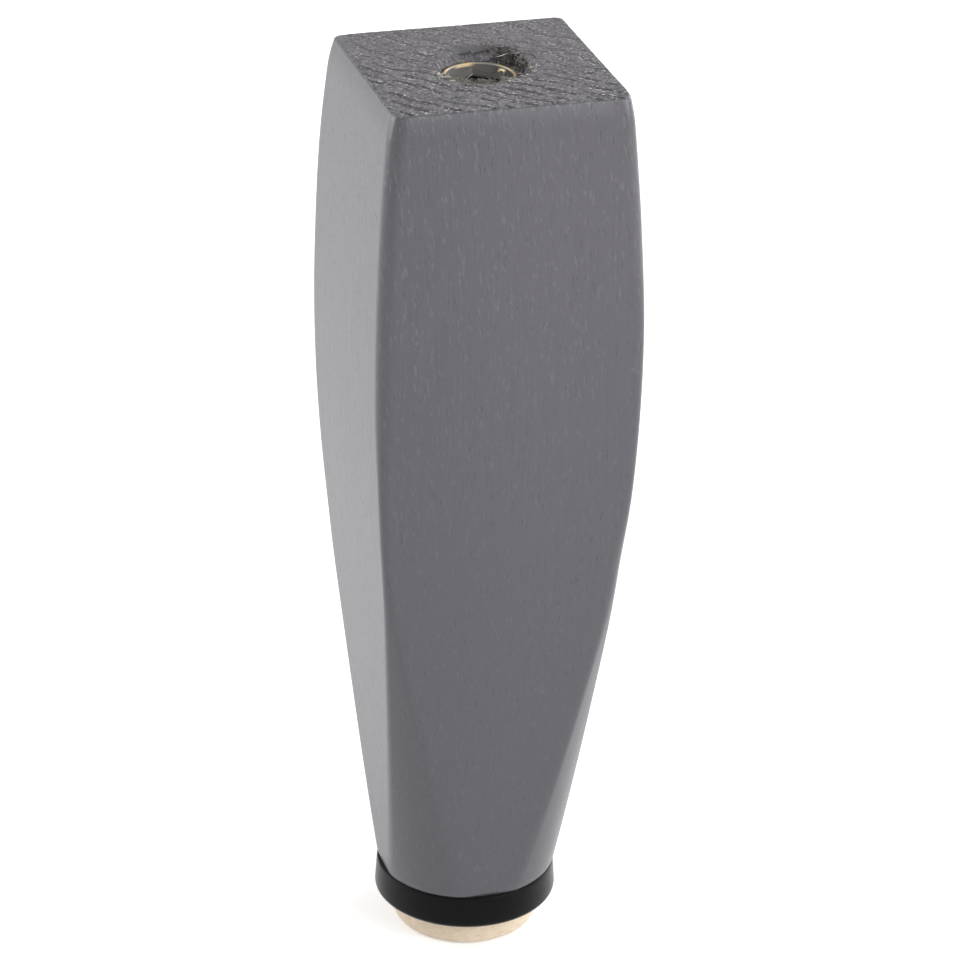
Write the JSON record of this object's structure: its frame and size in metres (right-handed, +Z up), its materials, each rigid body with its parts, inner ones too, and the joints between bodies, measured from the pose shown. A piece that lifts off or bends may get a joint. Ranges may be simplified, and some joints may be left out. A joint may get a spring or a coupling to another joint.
{
  "type": "wooden furniture leg",
  "caption": "Grey wooden furniture leg, square and swelling at the top and turned round at the foot, with a threaded nut in the top end and a felt glide under the foot.",
  "frame": {"origin": "on the floor, under the middle of the felt", "axes": "+Z up along the leg, towards the end that is bolted to the furniture; the flat sides face X and Y"},
  "size_m": [0.0396, 0.0396, 0.14],
  "materials": {
    "stained_wood": "matt grey stain over open-pored wood",
    "yellow_zinc": "yellow passivated",
    "black_plastic": "satin moulded",
    "nail_steel": "bright",
    "beige_felt": "pressed wool felt"
  },
  "bodies": {
    "root": {"leg_body": "stained_wood", "threaded_insert": "yellow_zinc", "glide_base": "black_plastic", "glide_nail": "nail_steel", "felt_pad": "beige_felt"}
  },
  "joints": []
}
